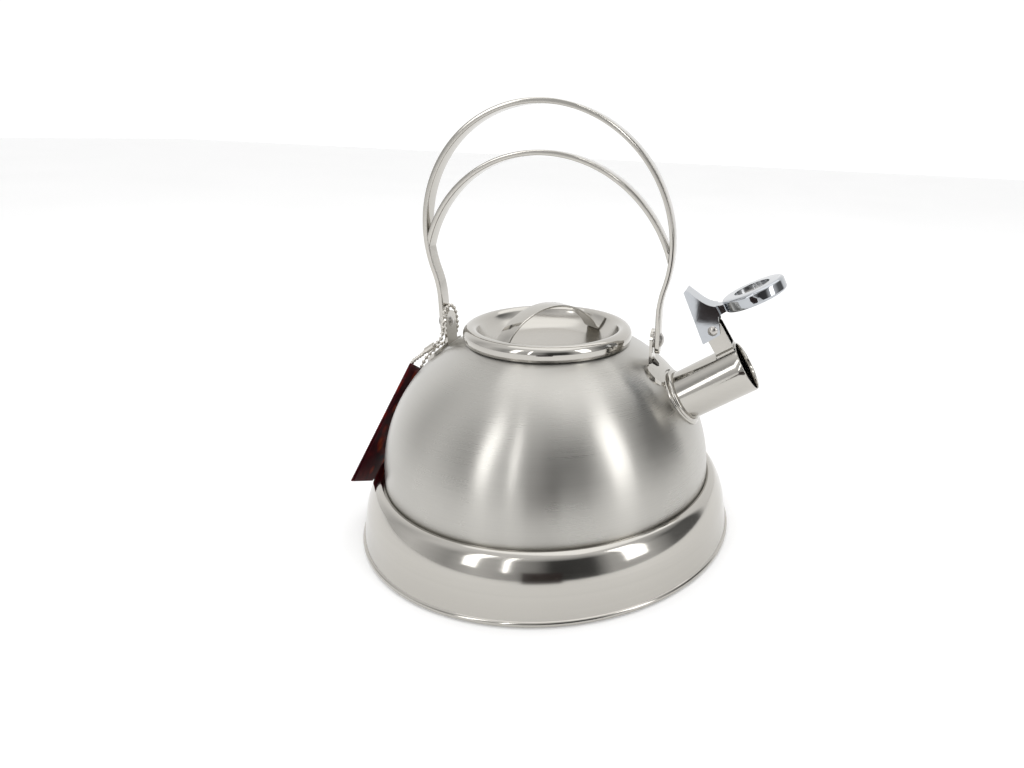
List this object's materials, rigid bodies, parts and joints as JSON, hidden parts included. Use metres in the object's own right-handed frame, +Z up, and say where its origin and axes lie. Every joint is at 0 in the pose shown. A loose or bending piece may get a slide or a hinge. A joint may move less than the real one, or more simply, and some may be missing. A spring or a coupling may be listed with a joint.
{
  "type": "stovetop whistling kettle",
  "caption": "Stovetop steel kettle with a lift-off lid, swinging bail handle and a short spout closed by a hinged whistle cap.",
  "frame": {"origin": "middle of the flat base, on the plane the kettle stands on", "axes": "+Z up along the body's axis, +X towards the spout"},
  "size_m": [0.2405, 0.2206, 0.2383],
  "materials": {
    "brushed_body": "brushed round the axis",
    "polished_steel": "polished stainless steel",
    "satin_steel": "satin",
    "base_steel": "satin, turned",
    "spreader_aluminium": "plain",
    "chain_steel": "polished beads",
    "tag_card": "printed and varnished card"
  },
  "bodies": {
    "kettle": {"body_dome": "brushed_body", "base_skirt": "polished_steel", "base_seam_bead": "polished_steel", "base_pan": "base_steel", "heat_spreader": "spreader_aluminium", "base_cap": "base_steel", "filler_neck": "brushed_body", "front_bracket": "polished_steel", "rear_bracket": "polished_steel", "front_pivot_rivet": "satin_steel", "rear_pivot_rivet": "satin_steel", "front_pivot_washer": "satin_steel", "rear_pivot_washer": "satin_steel", "spout_tube": "polished_steel", "spout_flange": "polished_steel", "whistle_post": "polished_steel", "tag_chain": "chain_steel", "chain_clasp": "chain_steel", "tag_front_leaf": "tag_card", "tag_back_leaf": "tag_card"},
    "lid": {"lid_shell": "polished_steel", "lid_collar": "satin_steel", "lid_strap": "polished_steel"},
    "handle": {"handle_outer_arch": "polished_steel", "handle_inner_arch": "polished_steel"},
    "whistle": {"whistle_lever": "polished_steel", "whistle_pin": "satin_steel", "whistle_cup": "satin_steel", "whistle_disc": "satin_steel", "whistle_leaf_spring": "satin_steel"}
  },
  "joints": [
    {"name": "handle_swing", "type": "hinge", "parent": "kettle", "child": "handle", "pos_m": [0, 0, 0.118], "axis": [1, 0, 0], "range_deg": [-90, 90]},
    {"name": "whistle_swing", "type": "hinge", "parent": "kettle", "child": "whistle", "pos_m": [0.09346, 0, 0.12754], "axis": [0, 1, 0], "range_deg": [0, 85]},
    {"name": "lid_lift", "type": "slide", "parent": "kettle", "child": "lid", "axis": [0, 0, 1], "range_m": [0, 0.06]}
  ]
}
